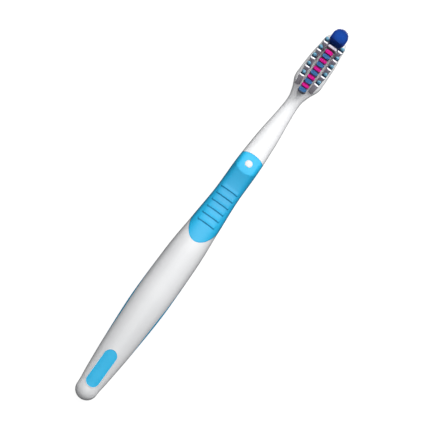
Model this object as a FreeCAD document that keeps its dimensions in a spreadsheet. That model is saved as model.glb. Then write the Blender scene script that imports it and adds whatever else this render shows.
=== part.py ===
import FreeCAD, Part
import math
import os
import Sketcher

# A manual toothbrush lying on its back: tail at -X, head at +X, bristles up.
# Lengths are millimetres and angles degrees. While it is built, x runs from the tail end
# and z from the surface that the brush lies on; every sub-part is then centred along x.

# The handle is one smooth form through these stations, tail to head. Each has its distance from
# the station before, its width, the height of its back, its thickness and the fullness of its section:
# 0.55 is an ellipse and 1 is nearly a rectangle with rounded corners. The two ends are half turns.
# The head is flat, so its other stations take their back and thickness from "head".
STATIONS = {
    "tail": {"width": 9.6, "back": 2.3, "thickness": 6.0, "fullness": 0.62},
    "stub": {"run": 7.2, "width": 11.0, "back": 1.85, "thickness": 7.1, "fullness": 0.62},
    "heel": {"run": 15.0, "width": 13.55, "back": 0.7, "thickness": 10.1, "fullness": 0.62},
    "palm": {"run": 25.0, "width": 16.0, "back": -0.35, "thickness": 12.95, "fullness": 0.64},
    "shoulder": {"run": 22.0, "width": 15.3, "back": -0.3, "thickness": 12.6, "fullness": 0.66},
    "thumb": {"run": 18.0, "width": 12.85, "back": -0.15, "thickness": 10.75, "fullness": 0.75},
    "waist": {"run": 18.0, "width": 10.8, "back": 0.9, "thickness": 8.2, "fullness": 0.84},
    "collar": {"run": 9.0, "width": 10.9, "back": 1.5, "thickness": 8.8, "fullness": 0.84},
    "shank": {"run": 15.0, "width": 9.6, "back": 2.5, "thickness": 6.4, "fullness": 0.78},
    "neck": {"run": 22.0, "width": 6.0, "back": 3.5, "thickness": 4.8, "fullness": 0.74},
    "root": {"run": 4.5, "width": 8.0, "fullness": 0.85},
    "head": {"run": 6.2, "width": 12.4, "back": 3.6, "thickness": 4.8, "fullness": 1.0},
    "brow": {"width": 11.8, "fullness": 1.0},
    "tip": {"run": 7.9, "width": 10.2, "fullness": 1.0},
}
ORDER = list(STATIONS)

# Soft overmoulds and the inlay, let into the handle flush with its surface.
OVERMOULDS = {
    "grip_thickness": 1.3,
    "grip_nose": 11.0,
    "grip_nose_margin": 0.1,
    "grip_lead": 7.4,
    "grip_edge_radius": 11.5,
    "grip_skirt": 4.2,
    "peg_radius": 1.6,
    "peg_lead": 3.2,
    "rib_count": 6,
    "rib_pitch": 3.52,
    "rib_width": 1.5,
    "rib_length": 8.3,
    "rib_height": 0.45,
    "rib_setback": 1.6,
    "rear_half_length": 36.0,
    "rear_rise": 8.8,
    "rear_setback": 6.0,
    "inlay_start": 5.5,
    "inlay_length": 18.3,
    "inlay_width": 6.1,
    "inlay_thickness": 0.9,
}

# Rows of tufts from the head's root, their holes, and the metal strip at the bottom of each hole.
ROWS = {
    "tuft_rows": 5,
    "row_pitch": 4.33,
    "tip_lead": 2.75,
    "hole_depth": 2.8,
    "hole_clearance": 0.05,
    "anchor_thickness": 0.3,
    "anchor_height": 1.4,
    "anchor_lift": 0.4,
    "anchor_bite": 0.12,
}

# Each kind of tuft: its section, its height above the head at the middle of its cut end, its lean
# towards the tip and outwards, the slope of its cut end, the bow of its column, its place past the
# head's root or its gap from the tuft before it, and its gap from the tufts beside it.
TUFTS = {
    "blue": {"along": 1.8, "across": 3.55, "height": 9.5, "lean": -10.0, "lead": 0.45},
    "pink": {"along": 1.8, "across": 3.55, "height": 9.8, "lean": -10.0, "trim": 28.0},
    "white": {"along": 1.15, "across": 2.2, "height": 9.8, "lean": 8.5, "splay": 2.0, "trim": 35.0,
              "lead": 2.3, "side_gap": 0.3, "bow": 0.6},
    "teal": {"along": 1.45, "across": 2.0, "height": 10.8, "lean": 4.0, "splay": 2.5,
             "gap": 0.25, "side_gap": 0.5, "bow": 0.65},
    "bar": {"along": 1.15, "height": 10.0, "lean": -8.0, "side_gap": 0.3},
    "crest": {"along": 3.8, "across": 5.2, "height": 12.0, "lean": 5.6, "trim": -8.0, "gap": 0.75,
              "top_along": 5.95, "top_across": 7.3},
}

# Lofted sections between two neighbouring stations.
STEPS = 4

doc = FreeCAD.newDocument("toothbrush")
sheet = doc.addObject("Spreadsheet::Sheet", "dims")
subparts = []


def fill_sheet():
    sizes = {}
    for station, values in STATIONS.items():
        for what, value in values.items():
            sizes[f"{station}_{what}"] = value
    sizes.update(OVERMOULDS)
    sizes.update(ROWS)
    for kind, values in TUFTS.items():
        for what, value in values.items():
            sizes[f"{kind}_{what}"] = value
    for row, (alias, value) in enumerate(sizes.items(), start=1):
        sheet.set(f"A{row}", alias.replace("_", " "))
        sheet.set(f"B{row}", str(value))
        sheet.setAlias(f"B{row}", alias)
    doc.recompute()


def size(alias):
    return float(sheet.get(alias))


def bind(thing, **expressions):
    for name, expression in expressions.items():
        thing.setExpression(name.replace("__", "."), expression)


def place(thing, x="0", y="0", z="0"):
    bind(thing, Placement__Base__x=x, Placement__Base__y=y, Placement__Base__z=z)


def run_to(station):
    """Expression for a station's distance from the one before; the brow is set back from the tip."""
    if station == "brow":
        return "(dims.tuft_rows * dims.row_pitch + dims.tip_lead - dims.head_run - dims.tip_run)"
    return f"dims.{station}_run"


def station_x(station):
    """Expression for a station's distance from the tail end."""
    runs = [run_to(name) for name in ORDER[1:ORDER.index(station) + 1]]
    return "(" + " + ".join(["dims.tail_width / 2"] + runs) + ")"


TOTAL_LENGTH = f"({station_x('tip')} + dims.tip_width / 2)"


def add(kind, name, **expressions):
    thing = doc.addObject(kind, name)
    bind(thing, **expressions)
    return thing


def boolean(kind, name, base, tool):
    thing = doc.addObject(f"Part::{kind}", name)
    thing.Base = base
    thing.Tool = tool
    return thing


def compound(name, things):
    group = doc.addObject("Part::Compound", name)
    group.Links = things
    return group


def sub_part(thing, label):
    """Keep a finished piece under its own name, centred along the brush."""
    thing.Label = label
    place(thing, x=f"-{TOTAL_LENGTH} / 2")
    subparts.append(thing)
    return thing


# Handle form

def station_places():
    places = [size("tail_width") / 2]
    for name in ORDER[1:]:
        if name == "brow":
            field = size("tuft_rows") * size("row_pitch") + size("tip_lead")
            places.append(places[-1] + field - size("head_run") - size("tip_run"))
        else:
            places.append(places[-1] + size(f"{name}_run"))
    return places


def smooth_curve(places, values):
    """Monotone cubic through the stations, level at both ends and at every crest and hollow."""
    gaps = [b - a for a, b in zip(places, places[1:])]
    rates = [(b - a) / gap for a, b, gap in zip(values, values[1:], gaps)]
    slopes = [0.0] * len(values)
    for i in range(1, len(values) - 1):
        if rates[i - 1] * rates[i] > 0:
            before = 2 * gaps[i] + gaps[i - 1]
            after = gaps[i] + 2 * gaps[i - 1]
            slopes[i] = (before + after) / (before / rates[i - 1] + after / rates[i])

    def value(x):
        i = max(k for k in range(len(gaps)) if k == 0 or places[k] <= x)
        u = (x - places[i]) / gaps[i]
        rise = u * u * (3 - 2 * u)
        start = slopes[i] * gaps[i] * u * (1 - u) ** 2
        end = slopes[i + 1] * gaps[i] * u * u * (u - 1)
        return values[i] + (values[i + 1] - values[i]) * rise + start + end

    return value


def form_curves():
    places = station_places()
    curves = {}
    for what in ("width", "back", "thickness", "fullness"):
        owners = [name if what in STATIONS[name] else "head" for name in ORDER]
        curves[what] = smooth_curve(places, [size(f"{name}_{what}") for name in owners])
    return curves


def half_section(curves, x, inset, side):
    """Half of a section from its front middle to its back middle, as two cubic quarters."""
    half_width = curves["width"](x) / 2 - inset
    bottom = curves["back"](x) + inset
    top = curves["back"](x) + curves["thickness"](x) - inset
    middle = (top + bottom) / 2
    fullness = curves["fullness"](x)
    out = side * half_width
    lift = fullness * (top - bottom) / 2
    poles = [
        FreeCAD.Vector(x, 0, top),
        FreeCAD.Vector(x, fullness * out, top),
        FreeCAD.Vector(x, out, middle + lift),
        FreeCAD.Vector(x, out, middle - lift),
        FreeCAD.Vector(x, fullness * out, bottom),
        FreeCAD.Vector(x, 0, bottom),
    ]
    curve = Part.BSplineCurve()
    curve.buildFromPolesMultsKnots(poles, [4, 2, 4], [0, 1, 2], False, 3)
    return curve.toShape()


def rounded_end(curves, x, inset, turn):
    profile = half_section(curves, x, inset, 1)
    axis_line = Part.makeLine(profile.Vertexes[-1].Point, profile.Vertexes[0].Point)
    face = Part.Face(Part.Wire([profile, axis_line]))
    return face.revolve(FreeCAD.Vector(x, 0, 0), FreeCAD.Vector(0, 0, 1), turn)


def handle_form(inset, last):
    """The handle's form from the tail to a station, drawn in by an inset all round."""
    curves = form_curves()
    places = station_places()[:ORDER.index(last) + 1]
    cuts = [a + (b - a) * k / STEPS for a, b in zip(places, places[1:]) for k in range(STEPS)]
    wires = []
    for x in cuts + [places[-1]]:
        left = half_section(curves, x, inset, -1)
        left.reverse()
        wires.append(Part.Wire([half_section(curves, x, inset, 1), left]))
    solid = Part.makeLoft(wires, True, False)
    solid = solid.fuse(rounded_end(curves, places[0], inset, 180))
    if last == "tip":
        solid = solid.fuse(rounded_end(curves, places[-1], inset, -180))
    return solid.Solids[0]


def form(name, inset, last="shank"):
    thing = doc.addObject("Part::Feature", name)
    thing.Shape = handle_form(inset, last)
    return thing


# Tools for the overmoulds

def draw_slot(sketch, along, length, width):
    """An outline with two straight sides and round ends: its long way runs along X or Y."""
    flat = FreeCAD.Vector(0, 0, 0)
    up = FreeCAD.Vector(0, 0, 1)
    radius = 1.0
    reach = 2.0
    way = FreeCAD.Vector(1, 0, 0) if along == "X" else FreeCAD.Vector(0, 1, 0)
    aside = up.cross(way)
    heading = math.atan2(way.y, way.x)
    quarter = math.pi / 2
    far_circle = Part.Circle(flat + way * reach, up, radius)
    near_circle = Part.Circle(flat - way * reach, up, radius)
    sketch.addGeometry(Part.ArcOfCircle(far_circle, heading - quarter, heading + quarter))
    sketch.addGeometry(Part.ArcOfCircle(near_circle, heading + quarter, heading + 3 * quarter))
    for sign in (1, -1):
        edge = aside * radius * sign
        sketch.addGeometry(Part.LineSegment(way * reach * sign + edge, edge - way * reach * sign))

    far_arc, near_arc, left_line, right_line = range(4)
    start, end, centre = 1, 2, 3
    origin = (-1, 1)
    level = "DistanceX" if along == "X" else "DistanceY"
    cross = "DistanceY" if along == "X" else "DistanceX"
    sketch.addConstraint(Sketcher.Constraint("Tangent", far_arc, end, left_line, start))
    sketch.addConstraint(Sketcher.Constraint("Tangent", left_line, end, near_arc, start))
    sketch.addConstraint(Sketcher.Constraint("Tangent", near_arc, end, right_line, start))
    sketch.addConstraint(Sketcher.Constraint("Tangent", right_line, end, far_arc, start))
    sketch.addConstraint(Sketcher.Constraint("Equal", far_arc, near_arc))
    sketch.addConstraint(Sketcher.Constraint(cross, *origin, far_arc, centre, 0.0))
    sketch.addConstraint(Sketcher.Constraint(cross, *origin, near_arc, centre, 0.0))
    round_end = sketch.addConstraint(Sketcher.Constraint("Radius", far_arc, radius))
    far_end = sketch.addConstraint(Sketcher.Constraint(level, *origin, far_arc, centre, reach))
    near_end = sketch.addConstraint(Sketcher.Constraint(level, near_arc, centre, *origin, reach))
    for index, title in ((round_end, "round_end"), (far_end, "far_end"), (near_end, "near_end")):
        sketch.renameConstraint(index, title)
    bind(
        sketch,
        Constraints__round_end=f"{width} / 2",
        Constraints__far_end=f"({length} - {width}) / 2",
        Constraints__near_end=f"({length} - {width}) / 2",
    )


def slot_body(name, along, length, width, x, z, height):
    """A tall bar with round ends that starts at height z."""
    body = doc.addObject("PartDesign::Body", name)
    sketch = body.newObject("Sketcher::SketchObject", f"{name}_outline")
    plane = next(f for f in body.Origin.OriginFeatures if f.Role == "XY_Plane")
    sketch.AttachmentSupport = [(plane, "")]
    sketch.MapMode = "FlatFace"
    bind(sketch, AttachmentOffset__Base__x=x, AttachmentOffset__Base__z=z)
    draw_slot(sketch, along, length, width)
    pad = body.newObject("PartDesign::Pad", f"{name}_pad")
    pad.Profile = sketch
    bind(pad, Length=height)
    body.Tip = pad
    doc.recompute()
    return body, sketch, pad


def front_zone():
    """Where the front grip lies, seen from above: an elliptic nose, straight sides and an arc edge."""
    nose_x = station_x("thumb")
    edge_x = f"({station_x('collar')} + dims.grip_lead)"
    deep = "dims.palm_thickness"
    across = "2 * dims.palm_width"
    nose_half = "(dims.thumb_width / 2 + dims.grip_nose_margin)"
    low = "dims.grip_skirt"
    nose_outline = oval("nose_outline", "2 * dims.grip_nose", f"2 * {nose_half}", nose_x, "0", low)
    nose = extrusion("nose", nose_outline, "0", "0", deep)
    sides_length = f"{edge_x} - dims.grip_edge_radius - {nose_x}"
    sides = add("Part::Box", "sides", Length=sides_length, Width=across, Height=deep)
    place(sides, x=nose_x, y=f"-{across} / 2", z=low)
    whole = boolean("Fuse", "nose_and_sides", nose, sides)
    edge = add("Part::Cylinder", "edge", Radius="dims.grip_edge_radius", Height=deep)
    place(edge, x=f"{edge_x} - dims.grip_edge_radius", z=low)
    return boolean("Fuse", "front_zone", whole, edge)


def rear_zone():
    """Where the rear grip lies: below an arc that is seen from the side and runs through the handle."""
    radius = "(dims.rear_half_length ^ 2 + dims.rear_rise ^ 2) / (2 * dims.rear_rise)"
    roll = add("Part::Cylinder", "rear_zone", Radius=radius, Height="2 * dims.palm_width")
    roll.Placement.Rotation = FreeCAD.Rotation(FreeCAD.Vector(1, 0, 0), 90)
    place(
        roll,
        x=f"{station_x('palm')} - dims.rear_setback",
        y="dims.palm_width",
        z=f"dims.rear_rise - {radius}",
    )
    return roll


def peg_post():
    post = add("Part::Cylinder", "peg_post", Radius="dims.peg_radius", Height="2 * dims.palm_thickness")
    place(post, x=f"{station_x('collar')} + dims.peg_lead")
    return post


def rib_bars():
    first_x = f"{station_x('waist')} - dims.rib_setback - (dims.rib_count - 1) * dims.rib_pitch"
    low = "dims.grip_skirt"
    deep = "dims.palm_thickness"
    body, sketch, pad = slot_body("rib_bars", "Y", "dims.rib_length", "dims.rib_width", first_x, low, deep)
    pattern = body.newObject("PartDesign::LinearPattern", "rib_pattern")
    pattern.Originals = [pad]
    pattern.Direction = (sketch, ["H_Axis"])
    bind(pattern, Length="(dims.rib_count - 1) * dims.rib_pitch", Occurrences="dims.rib_count")
    body.Tip = pattern
    doc.recompute()
    return body


# Tufts, their holes and their anchors

def oval(name, along, across, x, y, z):
    """A flat ellipse whose longer axis follows the longer of its two widths."""
    ring = add(
        "Part::Ellipse",
        name,
        MajorRadius=f"max({along}; {across}) / 2",
        MinorRadius=f"min({along}; {across}) / 2",
        Placement__Rotation__Angle=f"{across} > {along} ? 90 : 0",
    )
    place(ring, x, y, z)
    return ring


def slot_ring(name, along, across, x, y, z):
    """A flat outline with straight long sides across the brush and round ends."""
    sketch = doc.addObject("Sketcher::SketchObject", name)
    draw_slot(sketch, "Y", across, along)
    place(sketch, x, y, z)
    return sketch


def arch_ring(name, along, across, x, y, z):
    """A flat outline: straight towards the tail, two flanks and a half circle towards the tip."""
    sketch = doc.addObject("Sketcher::SketchObject", name)
    radius = 1.0
    flank = 1.0
    round_side = Part.Circle(FreeCAD.Vector(0, 0, 0), FreeCAD.Vector(0, 0, 1), radius)
    left_high = FreeCAD.Vector(0, radius, 0)
    left_low = FreeCAD.Vector(-flank, radius, 0)
    right_low = FreeCAD.Vector(-flank, -radius, 0)
    right_high = FreeCAD.Vector(0, -radius, 0)
    sketch.addGeometry(Part.ArcOfCircle(round_side, -math.pi / 2, math.pi / 2))
    sketch.addGeometry(Part.LineSegment(left_high, left_low))
    sketch.addGeometry(Part.LineSegment(left_low, right_low))
    sketch.addGeometry(Part.LineSegment(right_low, right_high))

    arc, left_line, edge, right_line = range(4)
    start, end, centre = 1, 2, 3
    origin = (-1, 1)
    sketch.addConstraint(Sketcher.Constraint("Tangent", arc, end, left_line, start))
    sketch.addConstraint(Sketcher.Constraint("Coincident", left_line, end, edge, start))
    sketch.addConstraint(Sketcher.Constraint("Coincident", edge, end, right_line, start))
    sketch.addConstraint(Sketcher.Constraint("Tangent", right_line, end, arc, start))
    sketch.addConstraint(Sketcher.Constraint("Vertical", edge))
    sketch.addConstraint(Sketcher.Constraint("Horizontal", left_line))
    sketch.addConstraint(Sketcher.Constraint("Horizontal", right_line))
    sketch.addConstraint(Sketcher.Constraint("DistanceY", *origin, arc, centre, 0.0))
    round_end = sketch.addConstraint(Sketcher.Constraint("Radius", arc, radius))
    depth = sketch.addConstraint(Sketcher.Constraint("DistanceX", edge, start, arc, centre, flank))
    setback = sketch.addConstraint(Sketcher.Constraint("DistanceX", edge, start, *origin, flank))
    for index, title in ((round_end, "round_end"), (depth, "depth"), (setback, "setback")):
        sketch.renameConstraint(index, title)
    bind(
        sketch,
        Constraints__round_end=f"{across} / 2",
        Constraints__depth=f"{along} - {across} / 2",
        Constraints__setback=f"{along} / 2",
    )
    place(sketch, x, y, z)
    return sketch


# Outlines of the tufts that are not oval.
RINGS = {"blue": slot_ring, "pink": slot_ring, "bar": slot_ring, "crest": arch_ring}


def extrusion(name, outline, way_x, way_y, way_z):
    solid = doc.addObject("Part::Extrusion", name)
    solid.Base = outline
    solid.DirMode = "Custom"
    solid.Solid = True
    bind(solid, Dir__x=way_x, Dir__y=way_y, Dir__z=way_z)
    return solid


CENTRE_HALF = "max(dims.blue_across; dims.pink_across) / 2"


def column_arch(row):
    """How far along its bow a side column is at a row: 0 at the ends and 1 half way."""
    return f"sin(180 * ({row} + 0.5) / dims.tuft_rows)"


def tuft_across(kind):
    """The bar fills the room between the last two teal tufts."""
    if kind != "bar":
        return f"dims.{kind}_across"
    room = f"{CENTRE_HALF} + dims.teal_side_gap + dims.teal_bow * {column_arch('dims.tuft_rows - 1')}"
    return f"(2 * ({room} - dims.bar_side_gap))"


def tuft_x(kind, row):
    """Where a tuft's axis meets the head."""
    if kind == "pink":
        return f"({tuft_x('blue', row)} + dims.row_pitch / 2)"
    if kind == "teal":
        closing = "(tan(dims.white_lean) - tan(dims.teal_lean)) * dims.white_height"
        apart = "(dims.white_along + dims.teal_along) / 2 + dims.teal_gap"
        return f"({tuft_x('white', row)} + {closing} + {apart})"
    if kind == "bar":
        return tuft_x("blue", "dims.tuft_rows")
    if kind == "crest":
        return f"({tuft_x('bar', 0)} + (dims.bar_along + dims.crest_along) / 2 + dims.crest_gap)"
    return f"({station_x('root')} + dims.{kind}_lead + {row} * dims.row_pitch)"


def tuft_y(kind, row):
    if "bow" not in TUFTS[kind]:
        return "0"
    middle = f"{CENTRE_HALF} + dims.{kind}_side_gap + dims.{kind}_across / 2"
    return f"({middle} + dims.{kind}_bow * {column_arch(row)})"


class TuftPlace:
    """Expressions for one tuft: where its axis passes at each height above the head."""

    def __init__(self, kind, row, side):
        self.kind = kind
        self.across = tuft_across(kind)
        self.base_x = tuft_x(kind, row)
        self.base_y = f"{side} * {tuft_y(kind, row)}"
        self.lean = f"tan(dims.{kind}_lean)"
        self.splay = f"{side} * tan(dims.{kind}_splay)" if "splay" in TUFTS[kind] else "0"

    def x(self, height):
        return f"({self.base_x} + {self.lean} * ({height}))"

    def y(self, height):
        return f"({self.base_y} + {self.splay} * ({height}))"

    def z(self, height):
        return f"(dims.head_back + dims.head_thickness + ({height}))"

    def outline(self, name, height, along, across):
        ring = RINGS.get(self.kind, oval)
        return ring(name, along, across, self.x(height), self.y(height), self.z(height))

    def column(self, name, low, high, margin="0"):
        """A leaning column between two heights, wider all round by a margin."""
        along = f"(dims.{self.kind}_along + 2 * {margin})"
        across = f"({self.across} + 2 * {margin})"
        foot = self.outline(f"{name}_foot", low, along, across)
        rise = f"({high}) - ({low})"
        return extrusion(name, foot, f"{self.lean} * ({rise})", f"{self.splay} * ({rise})", rise)


def anchor_strip(name, spot):
    height = "dims.anchor_lift - dims.hole_depth"
    strip = add(
        "Part::Box",
        name,
        Length="dims.anchor_thickness",
        Width=f"{spot.across} + 2 * dims.anchor_bite",
        Height="dims.anchor_height",
    )
    place(
        strip,
        x=f"{spot.x(height)} - dims.anchor_thickness / 2",
        y=f"{spot.y(height)} - {spot.across} / 2 - dims.anchor_bite",
        z=spot.z(height),
    )
    return strip


def trimming_block(name, spot, reach):
    """A block above the tuft's sloping cut end, turned about the brush's width."""
    kind = spot.kind
    height = f"dims.{kind}_height"
    slope = f"dims.{kind}_trim"
    block = add("Part::Box", name, Length=reach, Width=reach, Height=reach)
    block.Placement.Rotation = FreeCAD.Rotation(FreeCAD.Vector(0, 1, 0), 1)
    bind(block, Placement__Rotation__Angle=slope)
    place(
        block,
        x=f"{spot.x(height)} - {reach} / 2 * cos({slope})",
        y=f"{spot.y(height)} - {reach} / 2",
        z=f"{spot.z(height)} + {reach} / 2 * sin({slope})",
    )
    return block


def flared_column(name, spot, top):
    """The crest tuft widens above the head."""
    kind = spot.kind
    along = f"dims.{kind}_along"
    flare = doc.addObject("Part::Loft", name)
    flare.Sections = [
        spot.outline(f"{name}_foot", "-dims.hole_depth", along, spot.across),
        spot.outline(f"{name}_collar", "0", along, spot.across),
        spot.outline(f"{name}_top", top, f"dims.{kind}_top_along", f"dims.{kind}_top_across"),
    ]
    flare.Solid = True
    flare.Ruled = True
    return flare


def tuft(label, kind, row=0, side=1):
    """One tuft: returns its hole and its anchor strip, which the handle is cut by."""
    spot = TuftPlace(kind, row, side)
    flared = "top_along" in TUFTS[kind]
    trimmed = "trim" in TUFTS[kind]
    widest = f"dims.{kind}_top_along" if flared else f"dims.{kind}_along"
    top = f"dims.{kind}_height"
    if trimmed:
        top = f"({top} + {widest} * tan(abs(dims.{kind}_trim)))"
    if flared:
        solid = flared_column(f"{label}_column", spot, top)
    else:
        solid = spot.column(f"{label}_column", "-dims.hole_depth", top)
    if trimmed:
        reach = f"4 * max({widest}; {spot.across})"
        solid = boolean("Cut", f"{label}_trimmed", solid, trimming_block(f"{label}_trim", spot, reach))
    strip = anchor_strip(f"{label}_anchor", spot)
    sub_part(boolean("Cut", f"{label}_piece", solid, strip), label)
    hole = spot.column(f"{label}_hole", "-dims.hole_depth", "dims.hole_depth", "dims.hole_clearance")
    return hole, strip


def all_tufts():
    made = []
    for row in range(int(size("tuft_rows"))):
        for side, word in ((1, "left"), (-1, "right")):
            made.append(tuft(f"tuft_white_{word}_{row + 1}", "white", row, side))
            made.append(tuft(f"tuft_teal_{word}_{row + 1}", "teal", row, side))
        made.append(tuft(f"tuft_blue_{row + 1}", "blue", row))
        made.append(tuft(f"tuft_pink_{row + 1}", "pink", row))
    made.append(tuft("tuft_bar", "bar"))
    made.append(tuft("tuft_crest", "crest"))
    holes = compound("tuft_holes", [hole for hole, strip in made])
    anchors = compound("anchor_strips", [strip for hole, strip in made])
    return holes, anchors


# Whole brush

def build():
    fill_sheet()

    # The handle's form is cut level where the brush lies, which leaves a flat on its back.
    whole_form = form("whole_form", 0, "tip")
    across = "2 * dims.palm_width"
    ground = add("Part::Box", "ground", Length=TOTAL_LENGTH, Width=across, Height="dims.palm_width")
    place(ground, y=f"-{across} / 2", z="-dims.palm_width")
    outer = boolean("Cut", "outer", whole_form, ground)

    core = form("grip_core", size("grip_thickness"))
    front_plan = front_zone()
    front_space = boolean("Cut", "front_space", front_plan, core)
    front_room = boolean("Cut", "front_room", front_space, peg_post())
    rear_space = boolean("Cut", "rear_space", rear_zone(), core)
    rear_room = boolean("Cut", "rear_room", rear_space, front_space)

    inlay_floor = form("inlay_floor", size("inlay_thickness"))
    inlay_zone, inlay_outline, inlay_pad = slot_body(
        "inlay_zone",
        "X",
        "dims.inlay_length",
        "dims.inlay_width",
        "dims.inlay_start + dims.inlay_length / 2",
        "dims.tail_back + dims.tail_thickness / 2",
        "dims.palm_thickness",
    )
    inlay_room = boolean("Cut", "inlay_room", inlay_zone, inlay_floor)

    # Ribs stand on the front grip and are rooted half way into it.
    rib_crest = form("rib_crest", -size("rib_height"))
    rib_root = form("rib_root", size("grip_thickness") / 2)
    rib_tops = boolean("Common", "rib_tops", rib_bars(), rib_crest)
    rib_row = boolean("Common", "rib_row", rib_tops, front_plan)
    ribs = boolean("Cut", "ribs", rib_row, rib_root)
    front_skin = boolean("Common", "front_skin", outer, front_room)
    sub_part(boolean("Fuse", "front_grip_piece", front_skin, ribs), "front_grip")
    sub_part(boolean("Common", "rear_grip_piece", outer, rear_room), "rear_grip")
    sub_part(boolean("Common", "end_inlay_piece", outer, inlay_room), "end_inlay")

    holes, anchors = all_tufts()
    rooms = compound("overmould_rooms", [front_room, rear_room, inlay_room])
    bare = boolean("Cut", "handle_with_recesses", outer, rooms)
    drilled = boolean("Cut", "handle_with_holes", bare, holes)
    sub_part(boolean("Cut", "handle_piece", drilled, anchors), "handle")
    anchor_set = compound("anchor_set", [anchors])
    sub_part(anchor_set, "tuft_anchors")
    doc.recompute()


def write():
    failed = [thing.Name for thing in doc.Objects if {"Invalid", "Error"} & set(thing.State)]
    failed += [
        thing.Label for thing in subparts if thing.Shape.isNull() or not thing.Shape.isValid()
    ]
    if failed:
        raise RuntimeError("not built: " + ", ".join(failed))
    os.makedirs("parts", exist_ok=True)
    for thing in subparts:
        thing.Shape.exportStep(f"parts/{thing.Label}.step")
        print(f"{thing.Label}: {len(thing.Shape.Solids)} solid(s), {thing.Shape.Volume:.1f} mm3")


build()
write()
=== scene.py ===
# %% [markdown]
# A manual toothbrush with a white moulded handle, blue rubber grips and six kinds of bristle tuft.
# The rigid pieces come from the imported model, and this lesson dresses them: it gives the mouldings
# their finishes, models the soft thumb grip, and swaps each plain tuft for a bundle of nylon
# filaments. Everything is in metres. The brush lies on its back, its tip towards +X and its
# bristles towards +Z.

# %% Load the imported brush
import math
import random

import bpy
from mathutils import Matrix, Vector
from mathutils.bvhtree import BVHTree


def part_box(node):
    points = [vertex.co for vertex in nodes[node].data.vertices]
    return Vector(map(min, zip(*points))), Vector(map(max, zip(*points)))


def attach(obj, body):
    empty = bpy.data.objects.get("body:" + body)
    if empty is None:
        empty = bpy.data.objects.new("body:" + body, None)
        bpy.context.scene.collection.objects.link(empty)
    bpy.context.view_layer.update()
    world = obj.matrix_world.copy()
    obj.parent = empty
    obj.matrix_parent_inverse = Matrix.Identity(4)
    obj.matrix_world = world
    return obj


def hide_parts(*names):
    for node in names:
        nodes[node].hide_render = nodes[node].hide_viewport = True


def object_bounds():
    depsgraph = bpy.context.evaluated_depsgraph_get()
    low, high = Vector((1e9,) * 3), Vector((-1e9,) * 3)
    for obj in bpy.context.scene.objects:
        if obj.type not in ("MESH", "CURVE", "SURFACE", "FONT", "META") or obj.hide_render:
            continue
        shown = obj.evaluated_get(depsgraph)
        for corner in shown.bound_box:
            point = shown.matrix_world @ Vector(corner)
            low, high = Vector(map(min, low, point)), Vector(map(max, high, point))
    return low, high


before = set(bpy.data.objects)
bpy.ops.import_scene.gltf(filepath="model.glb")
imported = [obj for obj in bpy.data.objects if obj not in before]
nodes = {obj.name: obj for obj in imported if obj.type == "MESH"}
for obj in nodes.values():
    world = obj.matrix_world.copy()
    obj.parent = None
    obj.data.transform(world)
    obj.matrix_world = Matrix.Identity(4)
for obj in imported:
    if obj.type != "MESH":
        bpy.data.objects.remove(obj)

cad_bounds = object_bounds()
scene = bpy.context.scene
MM = 0.001
print("pieces of the packed brush:", len(nodes))

# %% [markdown]
# The picture looks down on the brush from almost straight above, leaning a little towards the tail,
# so the sides of the tufts that face the handle show. The brush climbs across the picture from
# lower left to upper right. A very long lens keeps both ends at the same scale, as in the picture.
# The camera's own three axes are worked out from the lean and the slope, which is easier to check
# than three rotation angles.

# %% Camera
VIEW_LEAN = math.radians(14.0)
PICTURE_SLOPE = math.radians(54.24)
PICTURE_SPAN = 178.4 * MM
AIM = Vector((1.86, -1.0, 5.3)) * MM
LENS = 1200.0
SENSOR = 36.0

along = Vector((math.cos(VIEW_LEAN), 0.0, math.sin(VIEW_LEAN)))
across = Vector((0.0, 1.0, 0.0))
backward = along.cross(across)
rightward = along * math.cos(PICTURE_SLOPE) - across * math.sin(PICTURE_SLOPE)
upward = along * math.sin(PICTURE_SLOPE) + across * math.cos(PICTURE_SLOPE)
distance = PICTURE_SPAN * LENS / SENSOR

camera_data = bpy.data.cameras.new("camera")
camera_data.lens = LENS
camera_data.sensor_width = SENSOR
camera_data.clip_end = 20.0
camera = bpy.data.objects.new("camera", camera_data)
scene.collection.objects.link(camera)
axes = Matrix((rightward, upward, backward)).transposed().to_4x4()
camera.matrix_world = Matrix.Translation(AIM + backward * distance) @ axes
scene.camera = camera
print("camera stands", round(distance, 3), "m away")

# %% [markdown]
# The studio has four soft windows of light: one above the tip, one beyond the tip and to the right,
# a wide one straight above, and a weak one towards the tail that opens up the shadows. Light from
# the tip brightens every slope that faces it, such as the cut ends of the white tufts, and leaves
# the slopes that face the tail a shade darker, which is how the picture shows the ribs and the
# thumb rest. Area lights are used, because their shadows are soft without any extra work.

# %% Lights
scene.view_settings.view_transform = "Standard"


def soft_window(name, place, target, size, power):
    light = bpy.data.lights.new(name, "AREA")
    light.size = size
    light.energy = power
    lamp = bpy.data.objects.new(name, light)
    lamp.location = place
    lamp.rotation_euler = (target - place).to_track_quat("-Z", "Y").to_euler()
    scene.collection.objects.link(lamp)


def beyond_tip(turn, rise, reach):
    """A place at this reach from the tip: turn goes round the brush and rise goes up, in degrees."""
    turn = math.radians(turn)
    rise = math.radians(rise)
    flat = math.cos(rise)
    way = Vector((flat * math.cos(turn), flat * math.sin(turn), math.sin(rise)))
    return Vector((cad_bounds[1][0], 0.0, 0.0)) + way * reach


centre = Vector((0.0, 0.0, 0.0))
soft_window("tip_window", beyond_tip(0.0, 67.0, 0.47), centre, 0.25, 1.45)
soft_window("side_window", beyond_tip(-45.0, 50.0, 0.6), centre, 0.3, 1.03)
soft_window("top_window", Vector((0.0, 0.0, 0.9)), centre, 0.5, 2.3)
soft_window("tail_window", Vector((-0.5, 0.0, 0.7)), centre, 0.5, 0.4)
world = bpy.data.worlds.new("room")
world.use_nodes = True
world.node_tree.nodes["Background"].inputs["Color"].default_value = (0.95, 0.97, 1.0, 1.0)
world.node_tree.nodes["Background"].inputs["Strength"].default_value = 0.125
scene.world = world

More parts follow.
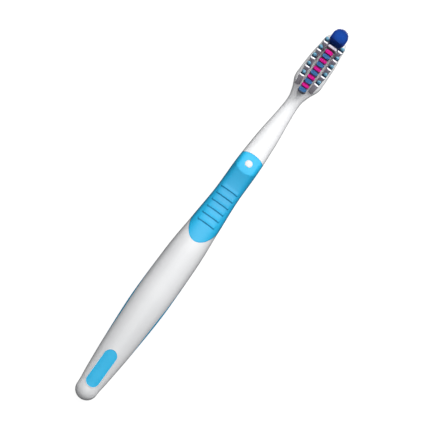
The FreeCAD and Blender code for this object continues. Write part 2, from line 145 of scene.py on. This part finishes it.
# %% [markdown]
# A finish is a small network of shader nodes. Written out node by node it is long and hard to
# follow, so two helpers keep it short. A Wire is one output of a node, and ordinary arithmetic on
# wires adds Math nodes. A Finish owns one material, and its node method makes any other node from
# its type, settings and sockets.

# %% Helpers for finishes


class Wire:
    """One output of a node, which takes part in Python arithmetic."""

    def __init__(self, finish, socket):
        self.finish = finish
        self.socket = socket

    def maths(self, operation, *values):
        return self.finish.node("ShaderNodeMath", {"operation": operation}, dict(enumerate(values)))

    def __add__(self, other):
        return self.maths("ADD", self, other)

    def __radd__(self, other):
        return self.maths("ADD", other, self)

    def __sub__(self, other):
        return self.maths("SUBTRACT", self, other)

    def __rsub__(self, other):
        return self.maths("SUBTRACT", other, self)

    def __mul__(self, other):
        return self.maths("MULTIPLY", self, other)

    def __rmul__(self, other):
        return self.maths("MULTIPLY", other, self)


class Finish:
    """One material with a Principled shader and the nodes that feed it."""

    def __init__(self, name, **sockets):
        self.material = bpy.data.materials.new(name)
        self.material.use_nodes = True
        self.tree = self.material.node_tree
        self.shader = self.tree.nodes["Principled BSDF"]
        self.set(**sockets)

    def set(self, **sockets):
        """Sets or links the shader's own sockets, with _ for the spaces in their names."""
        self.feed(self.shader, {key.replace("_", " "): value for key, value in sockets.items()})

    def feed(self, node, sockets):
        for key, value in sockets.items():
            if isinstance(value, Wire):
                self.tree.links.new(value.socket, node.inputs[key])
            else:
                node.inputs[key].default_value = value

    def node(self, kind, settings=None, sockets=None, output=0):
        made = self.tree.nodes.new(kind)
        for key, value in (settings or {}).items():
            setattr(made, key, value)
        self.feed(made, sockets or {})
        return Wire(self, made.outputs[output])

    def place(self):
        """The place of a point in metres, in the frame that the whole brush shares."""
        return self.node("ShaderNodeTexCoord", None, None, "Object")

    def grain(self, size, detail=2.0):
        """Soft noise from 0 to 1 whose lumps are about this many metres across."""
        sockets = {"Vector": self.place(), "Scale": 1.0 / size, "Detail": detail}
        return self.node("ShaderNodeTexNoise", None, sockets)

    def step(self, value, low, high):
        """Rises smoothly from 0 to 1 as the value goes from low to high."""
        sockets = {"Value": value, "From Min": low, "From Max": high}
        return self.node("ShaderNodeMapRange", {"interpolation_type": "SMOOTHSTEP"}, sockets)

    def tint(self, amount, first, second):
        """A colour part of the way from the first to the second."""
        sockets = {0: amount, 6: first, 7: second}
        return self.node("ShaderNodeMix", {"data_type": "RGBA"}, sockets, 2)

    def relief(self, height, depth):
        """Turns a height from 0 to 1 into a surface that is rough by this many metres."""
        return self.node("ShaderNodeBump", None, {"Height": height, "Distance": depth})


def colour(red, green, blue):
    """A shader colour from the 0 to 255 values that a paint program shows."""
    shares = [value / 255.0 for value in (red, green, blue)]
    linear = [
        share / 12.92 if share <= 0.04045 else ((share + 0.055) / 1.055) ** 2.4 for share in shares
    ]
    return (*linear, 1.0)


print("a white of 238 is", round(colour(238, 238, 238)[0], 3), "in light")

# %% [markdown]
# The floor is a sheet of pale paper on a light table, which glows a little, so the brush's shadow
# is faint. Its glow is kept from lighting the brush: the edges of the handle then fall off to grey
# and stand out from the paper, as in the picture.

# %% Floor
FLOOR_HALF = 1.5
paper = Finish("pale_paper", Roughness=0.9, Base_Color=colour(130, 130, 130))
paper.set(Emission_Color=(1.0, 1.0, 1.0, 1.0), Emission_Strength=0.93)
paper.set(Normal=paper.relief(paper.grain(0.4 * MM, 4.0), 0.01 * MM))


def add_piece(name, corners, faces, finish):
    """A smooth mesh object in the brush's frame."""
    mesh = bpy.data.meshes.new(name)
    mesh.from_pydata(corners, [], faces)
    mesh.polygons.foreach_set("use_smooth", [True] * len(faces))
    mesh.materials.append(finish.material)
    piece = bpy.data.objects.new(name, mesh)
    scene.collection.objects.link(piece)
    return piece


floor_corners = [(x * FLOOR_HALF, y * FLOOR_HALF, 0.0) for x, y in ((-1, -1), (1, -1), (1, 1), (-1, 1))]
floor = add_piece("floor", floor_corners, [(0, 1, 2, 3)], paper)
floor.visible_diffuse = False
floor.visible_glossy = False
print("floor", 2 * FLOOR_HALF, "m square")

# %% [markdown]
# The handle is one moulding of white polypropylene. The real plastic is a little waxy: its gloss is
# broken by the fine spark texture of the mould, and its white is never quite even. Both come from
# noise here, a wide one for the tone and a fine one for the surface.

# %% White plastic
white_plastic = Finish("white_plastic", IOR=1.49)
cloud = white_plastic.grain(14.0 * MM)
spark = white_plastic.grain(0.35 * MM, 3.0)
white_plastic.set(
    Base_Color=white_plastic.tint(cloud, colour(228, 229, 230), colour(236, 236, 237)),
    Roughness=0.3 + 0.12 * spark,
    Normal=white_plastic.relief(spark, 0.006 * MM),
)
print("finish", white_plastic.material.name)

# %% [markdown]
# The grips are a soft rubber that is moulded over the handle. It is satin: finer and duller than
# the plastic, with pores that catch the light. The same noise recipe is used, with smaller lumps
# and more roughness. Where a mesh carries a shade value, as the thumb grip does beside its ribs and
# along its skirts, the blue is painted deeper: painted shade where the light falls off.

# %% Blue rubber


def soft_rubber(name, darker, lighter, deep):
    finish = Finish(name, IOR=1.5)
    pores = finish.grain(0.2 * MM, 4.0)
    # Painted shade: the mesh's shade value mixes the blue towards the deep colour.
    shade = finish.node("ShaderNodeAttribute", {"attribute_name": "shade"}, None, "Fac")
    finish.set(
        Base_Color=finish.tint(shade, finish.tint(finish.grain(6.0 * MM), darker, lighter), deep),
        Roughness=0.45 + 0.15 * pores,
        Normal=finish.relief(pores, 0.008 * MM),
    )
    return finish


grip_rubber = soft_rubber(
    "grip_rubber", colour(28, 186, 238), colour(38, 194, 244), colour(14, 98, 146)
)
print("finish", grip_rubber.material.name)

# %% [markdown]
# At the bottom of every hole a strip of metal holds the folded filaments. It hardly shows, but it
# is a bright stamped strip with fine scratches, and gets a metal finish of its own.

# %% Anchor metal and the rigid pieces
anchor_metal = Finish("anchor_metal", Metallic=1.0)
scratches = anchor_metal.grain(0.15 * MM, 4.0)
anchor_metal.set(
    Base_Color=anchor_metal.tint(scratches, colour(150, 140, 120), colour(190, 180, 160)),
    Roughness=0.25 + 0.3 * scratches,
)


def dress(name, finish):
    mesh = nodes[name].data
    mesh.materials.clear()
    mesh.materials.append(finish.material)


dress("handle", white_plastic)
dress("rear_grip", grip_rubber)
dress("end_inlay", grip_rubber)
dress("tuft_anchors", anchor_metal)
print("mouldings dressed")

# %% [markdown]
# The thumb grip follows the handle's form, so that form is needed here too: the same stations along
# the handle, joined by the same smooth curve. Each section is made of four cubic quarters, whose
# fullness says how square the section is. A point on the form is found from its distance along the
# brush and its turn round the section: 0 at the front, 1 at the side and 2 at the back, with a sign
# for the side of the brush.

# %% The handle's form
TAIL = cad_bounds[0][0]
STATIONS = {
    "place": [52.0, 74.0, 92.0, 110.0, 119.0, 134.0, 156.0],
    "width": [16.0, 15.3, 12.85, 10.8, 10.9, 9.6, 6.0],
    "back": [-0.35, -0.3, -0.15, 0.9, 1.5, 2.5, 3.5],
    "thickness": [12.95, 12.6, 10.75, 8.2, 8.8, 6.4, 4.8],
    "fullness": [0.64, 0.66, 0.75, 0.84, 0.84, 0.78, 0.74],
}
THUMB_X = STATIONS["place"][2]
COLLAR_X = STATIONS["place"][4]


def smooth_curve(places, values):
    """A cubic through the stations that never overshoots them."""
    gaps = [b - a for a, b in zip(places, places[1:])]
    rates = [(b - a) / gap for a, b, gap in zip(values, values[1:], gaps)]
    slopes = [0.0] * len(values)
    for i in range(1, len(values) - 1):
        if rates[i - 1] * rates[i] > 0:
            before = 2 * gaps[i] + gaps[i - 1]
            after = gaps[i] + 2 * gaps[i - 1]
            slopes[i] = (before + after) / (before / rates[i - 1] + after / rates[i])

    def value(x):
        i = max(k for k in range(len(gaps)) if k == 0 or places[k] <= x)
        u = (x - places[i]) / gaps[i]
        start = slopes[i] * gaps[i] * u * (1 - u) ** 2
        end = slopes[i + 1] * gaps[i] * u * u * (u - 1)
        return values[i] + (values[i + 1] - values[i]) * u * u * (3 - 2 * u) + start + end

    return value


curves = {what: smooth_curve(STATIONS["place"], STATIONS[what]) for what in STATIONS if what != "place"}


def form_point(x, turn):
    """A point of the handle's form in millimetres, with x from the tail end."""
    half_width = curves["width"](x) / 2
    half_thick = curves["thickness"](x) / 2
    middle = curves["back"](x) + half_thick
    fullness = curves["fullness"](x)
    u = min(abs(turn), 2 - abs(turn))
    v = 1 - u
    out = 3 * v * v * u * fullness + 3 * v * u * u + u ** 3
    lift = v ** 3 + 3 * v * v * u + 3 * v * u * u * fullness
    side = math.copysign(1.0, turn)
    level = 1.0 if abs(turn) <= 1 else -1.0
    return Vector((x, side * half_width * out, middle + level * half_thick * lift))


def form_normal(x, turn):
    step = 0.02
    forward = form_point(x + step, turn) - form_point(x - step, turn)
    around = form_point(x, turn + step) - form_point(x, turn - step)
    return forward.cross(around).normalized()


def in_frame(point):
    return Vector((TAIL + point.x * MM, point.y * MM, point.z * MM))


print("front of the handle at the collar:", round(form_point(COLLAR_X, 0.0).z, 2), "mm high")

# %% [markdown]
# Seen from above, the thumb grip has an elliptic nose towards the tail and a round arc towards the
# neck. Its sides reach a little below the widest line of the handle. The mesh is a grid: one way
# runs along the brush from the nose to the arc, and the other goes round the section from skirt to
# skirt. Where each line of the grid meets the outline has no simple formula, so it is found by
# halving an interval.

# %% Outline of the thumb grip
GRIP_NOSE = 11.0
GRIP_NOSE_HALF = 6.525
GRIP_EDGE = COLLAR_X + 7.4
GRIP_EDGE_RADIUS = 11.5
GRIP_SKIRT = 4.2


def halving(low, high, is_past):
    for _ in range(30):
        middle = (low + high) / 2
        if is_past(middle):
            high = middle
        else:
            low = middle
    return high


def skirt_turn(x):
    return halving(1.0, 2.0, lambda turn: form_point(x, turn).z < GRIP_SKIRT)


skirt_curve = smooth_curve(STATIONS["place"], [skirt_turn(x) for x in STATIONS["place"][:-1]] + [1.0])


def grip_point(x, share):
    """A point on the grip's face: share goes from -1 at one skirt to 1 at the other."""
    return form_point(x, share * skirt_curve(x))


def grip_start(share):
    def is_past(x):
        aside = min(abs(grip_point(x, share).y) / GRIP_NOSE_HALF, 1.0)
        return x > THUMB_X - GRIP_NOSE * math.sqrt(1 - aside ** 2)
    return halving(THUMB_X - GRIP_NOSE, THUMB_X, is_past)


def grip_end(share):
    def is_past(x):
        sag = GRIP_EDGE_RADIUS - math.sqrt(GRIP_EDGE_RADIUS ** 2 - grip_point(x, share).y ** 2)
        return x > GRIP_EDGE - sag
    return halving(COLLAR_X, GRIP_EDGE, is_past)


print("grip from", round(grip_start(0.001), 2), "to", round(grip_end(0.001), 2), "mm from the tail")

# %% [markdown]
# The relief of the grip is added to the form as a height. Six ribs rise steeply on the side of the
# tail and die away softly towards the tip. Above them the rubber climbs to a curved ridge, and past
# the ridge it falls in a flat thumb rest. A small dip follows the outline, where rubber meets
# plastic, and another rings the peg. A bump in the material would be shorter to write, but it would
# show neither in the outline nor in the mesh.

# %% Relief of the thumb grip
RIB_COUNT = 6
RIB_PITCH = 3.52
RIB_LAST = 108.0
RIB_HALF = 4.15
RIB_HEIGHT = 0.45
RIB_RISE = (-0.45, 0.15)
RIB_FADE = 0.85
RIB_ENDS = (RIB_HALF - 0.3, RIB_HALF + 0.05)
RIB_LINE = (0.05, 0.42)
RIB_LINE_BACK = 0.2
RIB_LINE_ENDS = (RIB_HALF - 0.2, RIB_HALF + 0.1)
RIB_SHADE = 0.75
RIDGE_X = 117.3
RIDGE_BEND = 0.09
RIDGE_HEIGHT = 0.7
RIDGE_CLIMB = 3.6
RIDGE_SIDES = (3.4, 5.2)
RIDGE_TURN = (-0.6, 0.2)
REST_LENGTH = 8.8
NOSE_SHADE = 0.12
HOLLOW_SHADE = 0.16
HOLLOW_SPAN = (THUMB_X + 1.0, THUMB_X + 11.0)
DIP = 0.12
DIP_WIDTH = 0.4
GROOVE_WIDTH = 0.35
PEG_X = COLLAR_X + 2.65
PEG_RADIUS = 1.68


def ease(value, low, high):
    share = min(max((value - low) / (high - low), 0.0), 1.0)
    return share * share * (3 - 2 * share)


def rib_height(x, y):
    height = 0.0
    for number in range(RIB_COUNT):
        past = x - (RIB_LAST - number * RIB_PITCH)
        rise = ease(past, *RIB_RISE)
        height = max(height, rise * math.exp(-max(past - RIB_RISE[1], 0.0) / RIB_FADE))
    return RIB_HEIGHT * height * (1 - ease(abs(y), *RIB_ENDS))


def ridge_height(x, y):
    past = x - RIDGE_X - RIDGE_BEND * y * y
    climb = math.exp(min(past, 0.0) / RIDGE_CLIMB)
    rest = max(1 - max(past, 0.0) / REST_LENGTH, 0.0)
    return RIDGE_HEIGHT * climb * rest * (1 - ease(abs(y), *RIDGE_SIDES))


# Painted shade: these values darken the blue beside the ribs and on the slope below the ridge.
def rib_shade(x, y):
    """How deep in shade the tail side of the nearest rib is, from 0 to 1."""
    pasts = [x - (RIB_LAST - number * RIB_PITCH) for number in range(RIB_COUNT)]
    nearest = min(abs(past + RIB_LINE_BACK) for past in pasts)
    line = 1 - ease(nearest, *RIB_LINE)
    return RIB_SHADE * line * (1 - ease(abs(y), *RIB_LINE_ENDS))


def hollow_shade(x, y):
    """How deep in shade the slope below the ridge is, from 0 to 1."""
    below_ridge = 1 - ease(x - RIDGE_X - RIDGE_BEND * y * y, *RIDGE_TURN)
    return below_ridge * (NOSE_SHADE + HOLLOW_SHADE * ease(x, *HOLLOW_SPAN))


def border_dip(x, y, from_border):
    from_peg = math.hypot(x - PEG_X, y) - PEG_RADIUS
    groove = 1 - ease(abs(from_peg), 0.0, GROOVE_WIDTH)
    return DIP * (1 - ease(from_border, 0.0, DIP_WIDTH)) + DIP * groove


print("ribs stand", RIB_HEIGHT, "mm high, and the ridge", RIDGE_HEIGHT)

# %% [markdown]
# The grip's mesh is built column by column round the section and row by row along the brush. Past
# each border it turns down into the handle in two short steps, which gives the soft edge of moulded
# rubber. Each corner also keeps a value of painted shade. Beside the ribs, below the ridge and along
# the skirts the blue is painted deeper where the light falls off, and the value on the mesh puts
# that exactly where the form has it.

# %% Thumb grip
GRIP_LENGTHWAYS = 300
GRIP_ROUND = 84
RIM_DEPTHS = (0.0, 0.3, 1.1)
SKIRT_REACH = 9.0
SKIRT_MARGIN = 0.001
SIDE_SHADE = 0.75
SIDE_BAND = (0.5, 0.85)


def thumb_grip():
    rim = len(RIM_DEPTHS) - 1
    corners = []
    shades = []
    for column in range(-rim, GRIP_ROUND + rim + 1):
        inner_column = min(max(column, 0), GRIP_ROUND)
        share = 2 * (inner_column + SKIRT_MARGIN) / (GRIP_ROUND + 2 * SKIRT_MARGIN) - 1
        start = grip_start(share)
        end = grip_end(share)
        for row in range(-rim, GRIP_LENGTHWAYS + rim + 1):
            inner_row = min(max(row, 0), GRIP_LENGTHWAYS)
            x = start + (end - start) * inner_row / GRIP_LENGTHWAYS
            point = grip_point(x, share)
            from_border = min(x - start, end - x, (1 - abs(share)) * SKIRT_REACH)
            height = max(rib_height(x, point.y), ridge_height(x, point.y))
            height -= border_dip(x, point.y, from_border)
            height -= RIM_DEPTHS[max(abs(column - inner_column), abs(row - inner_row))]
            corners.append(in_frame(point + form_normal(x, share * skirt_curve(x)) * height))
            # Painted shade along the skirts, where the sides turn away from the light.
            side_shade = SIDE_SHADE * ease(abs(share), *SIDE_BAND)
            shades.append(max(rib_shade(x, point.y), hollow_shade(x, point.y), side_shade))
    wide = GRIP_LENGTHWAYS + 2 * rim + 1
    high = GRIP_ROUND + 2 * rim + 1
    faces = []
    for column in range(high - 1):
        for row in range(wide - 1):
            first = column * wide + row
            faces.append((first, first + 1, first + wide + 1, first + wide))
    return corners, faces, shades


grip_corners, grip_faces, grip_shades = thumb_grip()
grip = add_piece("thumb_grip", grip_corners, grip_faces, grip_rubber)
grip.data.attributes.new("shade", "FLOAT", "POINT").data.foreach_set("value", grip_shades)
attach(grip, "root")
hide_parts("front_grip")
print("thumb grip has", len(grip.data.vertices), "corners")

# %% [markdown]
# A white peg of the handle comes up through the thumb rest and ends in a low button. A button is a
# turned shape, so its mesh is a profile that is turned about the line that stands square on the
# thumb rest.

# %% Peg button
PEG_TURNS = 48
PEG_CROWN = [(0.0, 0.16), (0.55, 0.15), (1.0, 0.12), (1.4, 0.06), (1.6, -0.02)]
PEG_PROFILE = PEG_CROWN + [(PEG_RADIUS, -0.16), (PEG_RADIUS, -0.5)]


def peg_button():
    foot = grip_point(PEG_X, 0.0)
    up = form_normal(PEG_X, 0.0)
    foot = foot + up * ridge_height(PEG_X, 0.0)
    ahead = up.cross(Vector((0.0, 1.0, 0.0))).normalized()
    aside = up.cross(ahead)
    corners = []
    for reach, height in PEG_PROFILE[1:]:
        for number in range(PEG_TURNS):
            turn = 2 * math.pi * number / PEG_TURNS
            spread = (ahead * math.cos(turn) + aside * math.sin(turn)) * reach
            corners.append(in_frame(foot + spread + up * height))
    corners.append(in_frame(foot + up * PEG_PROFILE[0][1]))
    faces = []
    for ring in range(len(PEG_PROFILE) - 2):
        for number in range(PEG_TURNS):
            following = (number + 1) % PEG_TURNS
            upper = ring * PEG_TURNS
            lower = upper + PEG_TURNS
            faces.append((upper + following, upper + number, lower + number, lower + following))
    top = len(corners) - 1
    faces += [(number, (number + 1) % PEG_TURNS, top) for number in range(PEG_TURNS)]
    return corners, faces


button = add_piece("peg_button", *peg_button(), white_plastic)
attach(button, "root")
print("button stands at", [round(value, 4) for value in button.data.vertices[-1].co])

# %% [markdown]
# A pale rim frames the blue inlay at the tail. On the real brush it is a lip of the handle that the
# rubber is filled up to. A bevelled curve could draw it, but a curve doesn't know the handle's
# face. Here it is a low bead: the inlay's outline, a bar with two round ends, is dropped onto the
# handle by rays, and a flat arch is drawn round it.

# %% Inlay rim
INLAY_START = 5.5
INLAY_LENGTH = 18.3
INLAY_WIDTH = 6.1
RIM_STEPS = 180
RIM_SHIFT = 0.1
RAY_HEIGHT = 40.0
RIM_ARCH = [(-0.2, -0.2), (-0.18, 0.03), (-0.08, 0.08), (0.08, 0.08), (0.18, 0.03), (0.2, -0.2)]


def inlay_outline(share):
    """A place on the inlay's outline and the way out from it, seen from above."""
    radius = INLAY_WIDTH / 2
    straight = INLAY_LENGTH - INLAY_WIDTH
    curve = math.pi * radius
    reach = share * 2 * (straight + curve)
    side = 1 if reach < straight + curve else -1
    reach = reach % (straight + curve)
    if reach < straight:
        flat = Vector((side * (reach - straight / 2), -side * radius))
        out = Vector((0.0, -side))
    else:
        turn = (reach - straight) / radius - math.pi / 2
        out = Vector((math.cos(turn), math.sin(turn))) * side
        flat = Vector((side * straight / 2, 0.0)) + out * radius
    return flat + Vector((INLAY_START + INLAY_LENGTH / 2, 0.0)), out


def inlay_rim():
    mesh = nodes["handle"].data
    tree = BVHTree.FromPolygons([v.co for v in mesh.vertices], [p.vertices for p in mesh.polygons])
    corners = []
    for step in range(RIM_STEPS):
        flat, out = inlay_outline(step / RIM_STEPS)
        over = flat + out * RIM_SHIFT
        above = in_frame(Vector((*over, RAY_HEIGHT)))
        place, normal, _, _ = tree.ray_cast(above, Vector((0.0, 0.0, -1.0)))
        sideways = Vector((*out, 0.0))
        sideways = (sideways - normal * sideways.dot(normal)).normalized()
        for aside, height in RIM_ARCH:
            corners.append(place + (sideways * (aside - RIM_SHIFT) + normal * height) * MM)
    wide = len(RIM_ARCH)
    faces = []
    for step in range(RIM_STEPS):
        for k in range(wide):
            first = step * wide
            following = ((step + 1) % RIM_STEPS) * wide
            after = (k + 1) % wide
            faces.append((first + k, first + after, following + after, following + k))
    return corners, faces


rim = add_piece("inlay_rim", *inlay_rim(), white_plastic)
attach(rim, "root")
print("rim has", len(rim.data.vertices), "corners")

# %% [markdown]
# A filament's cut end is painted bright and made to glow a little, a painted highlight and painted
# glow, while the side of the bundle is painted deep in colour as painted shade. Each corner of a
# bundle knows how far it is from its filament's end, and each filament is an island of the mesh
# with a random tone of its own.

# %% Filament finishes
CUT_END = 0.1
LEAST_SHADE = 0.7
SHADE_SPAN = 0.3


def nylon(name, deep, bright, glow, light=0.0, side=0.0, roughness=0.35):
    """A painted highlight and glow at the cut end, which fade over this many millimetres to painted
    shade on the side.
    """
    finish = Finish(name, IOR=1.53, Roughness=roughness)
    from_end = finish.node("ShaderNodeAttribute", {"attribute_name": "from_end"}, None, "Fac")
    island = finish.node("ShaderNodeNewGeometry", None, None, "Random Per Island")
    share = (1 - finish.step(from_end, CUT_END, glow)) * (LEAST_SHADE + SHADE_SPAN * island)
    # Painted highlight and painted glow at the cut end, painted shade on the side.
    finish.set(Base_Color=finish.tint(share, deep, bright), Emission_Strength=light)
    finish.set(Emission_Color=finish.tint(share, [side * value for value in deep], bright))
    return finish


# light is the strength of each painted glow, and side the share of that glow the deep side gets.
finishes = {
    "white": nylon("white_filament", colour(226, 222, 230), colour(253, 253, 254), 0.3, 0.4, 0.09),
    "teal": nylon("teal_filament", colour(26, 96, 132), colour(160, 222, 245), 2.0, 0.09),
    "pink": nylon("pink_filament", colour(150, 4, 105), colour(236, 18, 166), 2.0, 0.12, 1.0),
    "blue": nylon("blue_filament", colour(30, 84, 146), colour(84, 148, 208), 2.5, 0.04),
    "bar": nylon("bar_filament", colour(205, 202, 210), colour(222, 218, 228), 1.0, 0.25),
    "crest": nylon("navy_filament", colour(2, 60, 160), colour(26, 104, 216), 0.4, 0.08, 0.6, 0.5),
}
print("filament finishes:", ", ".join(finishes))

# %% [markdown]
# A tuft is a bundle of filaments punched into a hole in the head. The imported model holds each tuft
# as one plain solid with the right lean and the right cut, so the filaments are grown inside that
# solid. A hair system could grow them too, but plain meshes stay inside the solid and export as
# they are. One filament is a thin rod with six sides. It starts inside the hole, sways a little on
# its way up, and ends in a rounded tip.

# %% One filament
FILAMENT_RADIUS = 0.1 * MM
SIDES = 6
ROOT_DEPTH = 1.5 * MM
STRAIGHT_END = 1.2 * MM


def filament(foot, direction, length, sway):
    """Rings of corners from the root in the hole, over a slightly swayed middle, to a rounded tip."""
    radius = FILAMENT_RADIUS
    side = direction.cross(Vector((0.0, 1.0, 0.0))).normalized()
    other = direction.cross(side)
    rings = [
        (-ROOT_DEPTH, radius, 0.0),
        (length * 0.5, radius, 1.0),
        (length - STRAIGHT_END, radius, 0.5),
        (length - radius, radius, 0.0),
        (length - 0.4 * radius, radius * 0.8, 0.0),
    ]
    corners = []
    from_end = []
    for reach, width, share in rings:
        middle = foot + direction * reach + sway * share
        for number in range(SIDES):
            turn = 2 * math.pi * number / SIDES
            corners.append(middle + (side * math.cos(turn) + other * math.sin(turn)) * width)
            from_end.append((length - reach) / MM)
    corners.append(foot + direction * length)
    from_end.append(0.0)
    return corners, from_end


def filament_faces(first, count):
    """Faces for one filament whose corners start at this number."""
    rings = (count - 1) // SIDES
    faces = []
    for ring in range(rings - 1):
        for number in range(SIDES):
            following = (number + 1) % SIDES
            low = first + ring * SIDES
            faces.append((low + number, low + following, low + SIDES + following, low + SIDES + number))
    top = first + (rings - 1) * SIDES
    faces += [(top + number, top + (number + 1) % SIDES, top + SIDES) for number in range(SIDES)]
    faces.append(tuple(reversed(range(first, first + SIDES))))
    return faces


print("a filament is", 2 * FILAMENT_RADIUS / MM, "mm thick")

# %% [markdown]
# The filaments stand in a triangular grid, the closest way to pack round rods. A point of the grid
# is kept if it lies inside the tuft's solid. The nearest face tells: seen from a point inside, it
# faces away.

# %% Room inside a tuft
PLATE_TOP = 8.4 * MM
FOOT_HEIGHT = PLATE_TOP + 0.2 * MM
FILAMENT_PITCH = 0.21 * MM
HIGH_SHARE = 0.6
WALL_SHARE = 0.3


def section_points(tree, low, high, height):
    """Points of a triangular grid at one height that lie inside a tuft."""
    points = []
    middle = (low + high) / 2
    rows = int((high.y - low.y) / FILAMENT_PITCH) + 2
    columns = int((high.x - low.x) / FILAMENT_PITCH) + 2
    for row in range(-rows, rows + 1):
        for column in range(-columns, columns + 1):
            x = middle.x + (column + 0.5 * (row % 2)) * FILAMENT_PITCH
            y = middle.y + row * FILAMENT_PITCH * math.sqrt(3) / 2
            point = Vector((x, y, height))
            place, normal, _, away = tree.find_nearest(point)
            if (point - place).dot(normal) < 0.0 and away > WALL_SHARE * FILAMENT_RADIUS:
                points.append(point)
    return points


def middle_and_spread(points):
    middle = sum(points, Vector()) / len(points)
    spread_x = math.sqrt(sum((point.x - middle.x) ** 2 for point in points) / len(points))
    spread_y = math.sqrt(sum((point.y - middle.y) ** 2 for point in points) / len(points))
    return middle, spread_x, spread_y


print("filaments stand", FILAMENT_PITCH / MM, "mm apart")

# %% [markdown]
# The grid is laid in the upper part of the tuft, where the section is fullest. Going down, the
# filaments draw together towards their feet in the hole. Going up, a ray finds where each one meets
# the cut. The trim then shapes the ends: a dome lowers the rim, a fall lowers the side towards the
# tip, and a rounding leaves out the corners towards the tail. A lowered end can also count as
# further from the end, which paints it in the deep colour as painted shade.

# %% A whole bundle
EVEN_SPREAD = math.sqrt(3.0)
ROUND_POWER = 3.0
FALL_BAND = (0.3, 0.8)
UNEVEN_CUT = 0.12
SWAY = 0.03


def bundle(node, finish, slot, chance, dome=0.0, fall=0.0, deeper=0.0, rounding=0.0):
    """All the filaments of one tuft as one mesh that stands for the tuft's solid."""
    mesh = nodes[node].data
    tree = BVHTree.FromPolygons([v.co for v in mesh.vertices], [p.vertices for p in mesh.polygons])
    low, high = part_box(node)
    upper_height = FOOT_HEIGHT + (high.z - FOOT_HEIGHT) * HIGH_SHARE
    feet_middle, feet_x, feet_y = middle_and_spread(section_points(tree, low, high, FOOT_HEIGHT))
    starts = section_points(tree, low, high, upper_height)
    middle, spread_x, spread_y = middle_and_spread(starts)
    corners = []
    faces = []
    from_end = []
    grown = 0
    for start in starts:
        offset = start - middle
        ahead = offset.x / spread_x / EVEN_SPREAD
        aside = offset.y / spread_y / EVEN_SPREAD
        if ahead < 0 and rounding * (abs(ahead) ** ROUND_POWER + abs(aside) ** ROUND_POWER) > 1:
            continue
        foot = feet_middle + Vector((offset.x * feet_x / spread_x, offset.y * feet_y / spread_y, 0.0))
        direction = (start - foot).normalized()
        top, _, _, length = tree.ray_cast(start, direction)
        if top is None:
            continue
        rim_share = math.hypot(offset.x / spread_x, offset.y / spread_y) / 2
        lower = dome * rim_share ** 2 + fall * ease(ahead, *FALL_BAND)
        length += (start - foot).length - lower - chance.uniform(0.0, UNEVEN_CUT) * MM
        sway = Vector((chance.uniform(-1, 1), chance.uniform(-1, 1), 0.0)) * SWAY * MM
        made, reaches = filament(foot, direction, length, sway)
        faces += filament_faces(len(corners), len(made))
        corners += made
        # Painted shade: a lowered end is counted further from its end, so it takes the deep colour.
        from_end += [reach + deeper * lower / MM for reach in reaches]
        grown += 1
    piece = add_piece(node.replace("tuft", "filaments"), corners, faces, finish)
    piece.data.attributes.new("from_end", "FLOAT", "POINT").data.foreach_set("value", from_end)
    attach(piece, "root")
    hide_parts(node)
    return grown


print("filaments of one bundle end up to", UNEVEN_CUT, "mm apart")

# %% [markdown]
# Each kind of tuft has its own trim. The teal ones end in small domes with a rim painted dark as
# painted shade. The white ones fall off towards the tip, and their lowered ends are painted in shade,
# so that only a thin bright lens of cut ends shows. The pink ones fall off a little too, apart from
# the one next to the bar, and their far edge is painted dark as painted shadow. The blue ones are
# round towards the tail. One random series serves all the tufts, in the order of their names, so
# the brush is the same each time.

# %% Grow every tuft
SLOTS = {"white": "white_filament", "teal": "teal_filament", "pink": "pink_filament",
         "blue": "blue_filament", "bar": "white_filament", "crest": "navy_filament"}
TRIMS = {
    "white": {"fall": 0.7 * MM, "deeper": 2.0},
    "teal": {"dome": 1.3 * MM, "deeper": 1.2},
    "pink": {"dome": 0.05 * MM, "fall": 0.15 * MM, "deeper": 14.0},
    "blue": {"dome": 0.2 * MM, "rounding": 1.0},
    "bar": {"dome": 0.1 * MM},
    "crest": {"dome": 0.3 * MM, "deeper": 1.2},
    "tuft_pink_5": {"dome": 0.1 * MM},
}
SEED = 7
chance = random.Random(SEED)
total = 0
for node in sorted(name for name in nodes if name.startswith("tuft_") and name != "tuft_anchors"):
    kind = node.split("_")[1]
    trim = TRIMS.get(node, TRIMS[kind])
    total += bundle(node, finishes[kind], SLOTS[kind], chance, **trim)
print("filaments grown:", total)
